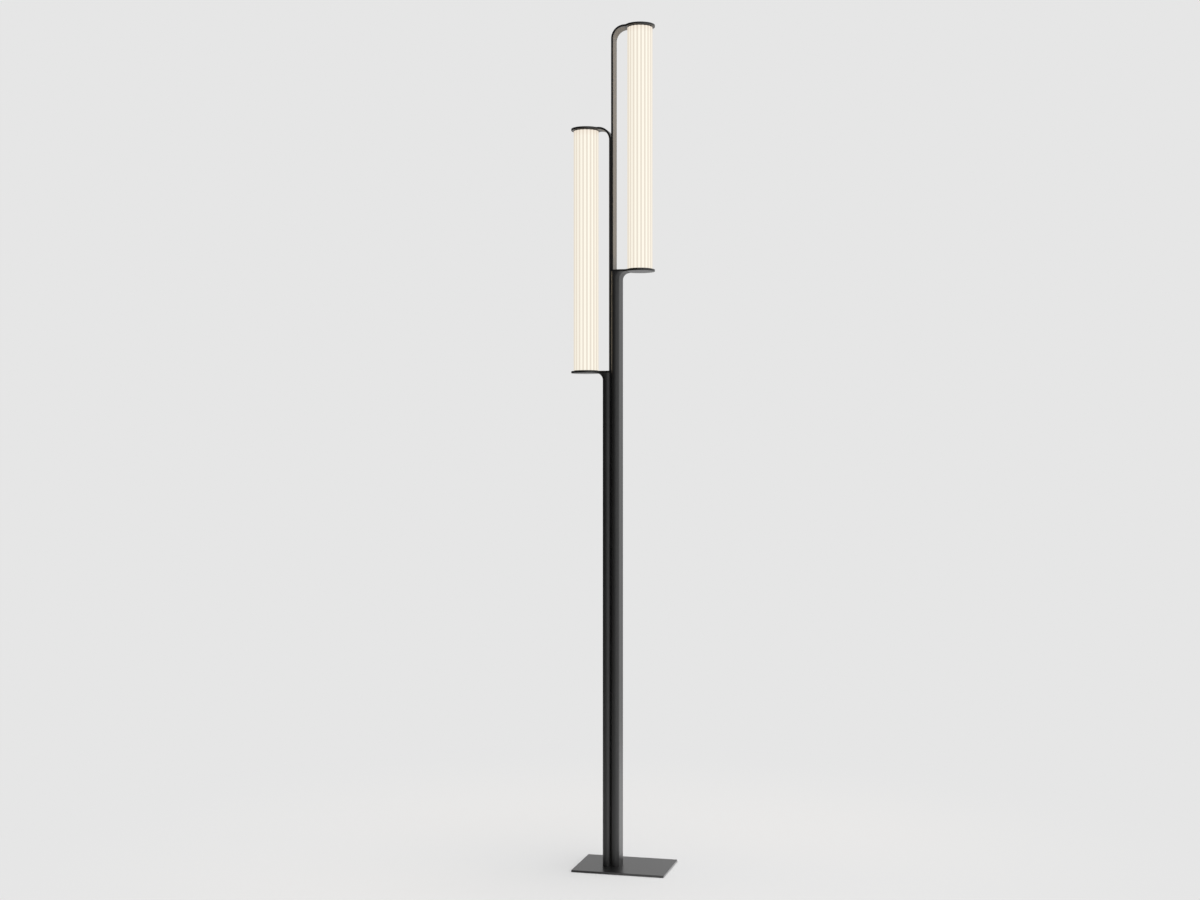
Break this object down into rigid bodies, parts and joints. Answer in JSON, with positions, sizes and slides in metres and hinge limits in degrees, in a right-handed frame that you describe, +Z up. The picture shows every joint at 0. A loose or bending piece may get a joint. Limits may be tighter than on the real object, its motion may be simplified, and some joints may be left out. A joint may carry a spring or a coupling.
{
  "type": "outdoor floor lamp",
  "caption": "Slim outdoor floor lamp with twin posts side by side on a flat plate, carrying staggered upright fluted tube lights held between discs by bent straps.",
  "frame": {"origin": "on the floor under the plane between the two straps, midway front to back", "axes": "+Z up along the posts, +X to the right towards the higher lamp, +Y to the back"},
  "size_m": [0.2422, 0.16, 2],
  "materials": {
    "plate_coat": "fine satin powder coat",
    "post_coat": "fine satin powder coat",
    "arm_coat": "fine satin powder coat",
    "fluted_diffuser": "clear fluted acrylic, lit warm white",
    "opal_plastic": "opal",
    "bare_aluminium": "mill",
    "holder_plastic": "moulded",
    "led_board": "white solder mask",
    "driver_case": "moulded",
    "lead_sheath": "matt",
    "seal_rubber": "matt",
    "screw_steel": "bare stainless",
    "black_screw": "blackened"
  },
  "bodies": {
    "root": {"base_plate": "plate_coat", "cable_grommets": "seal_rubber", "left_arm": "arm_coat", "left_arm_screws": "screw_steel", "left_diffuser": "fluted_diffuser", "left_disc_screws": "black_screw", "left_driver": "driver_case", "left_head_screws": "screw_steel", "left_lead": "lead_sheath", "left_lead_cover": "arm_coat", "left_led_boards": "led_board", "left_led_core": "bare_aluminium", "left_lower_disc": "arm_coat", "left_lower_gasket": "seal_rubber", "left_lower_holder": "holder_plastic", "left_lower_holder_screws": "screw_steel", "left_opal_tube": "opal_plastic", "left_post": "post_coat", "left_post_head": "post_coat", "left_spigot": "bare_aluminium", "left_upper_gasket": "seal_rubber", "left_upper_holder": "holder_plastic", "left_upper_holder_screws": "screw_steel", "post_set_screws": "black_screw", "right_arm": "arm_coat", "right_arm_screws": "screw_steel", "right_diffuser": "fluted_diffuser", "right_disc_screws": "black_screw", "right_driver": "driver_case", "right_head_screws": "screw_steel", "right_lead": "lead_sheath", "right_lead_cover": "arm_coat", "right_led_boards": "led_board", "right_led_core": "bare_aluminium", "right_lower_disc": "arm_coat", "right_lower_gasket": "seal_rubber", "right_lower_holder": "holder_plastic", "right_lower_holder_screws": "screw_steel", "right_opal_tube": "opal_plastic", "right_post": "post_coat", "right_post_head": "post_coat", "right_spigot": "bare_aluminium", "right_upper_gasket": "seal_rubber", "right_upper_holder": "holder_plastic", "right_upper_holder_screws": "screw_steel", "spigot_screws": "screw_steel", "tie_screws": "black_screw"}
  },
  "joints": []
}
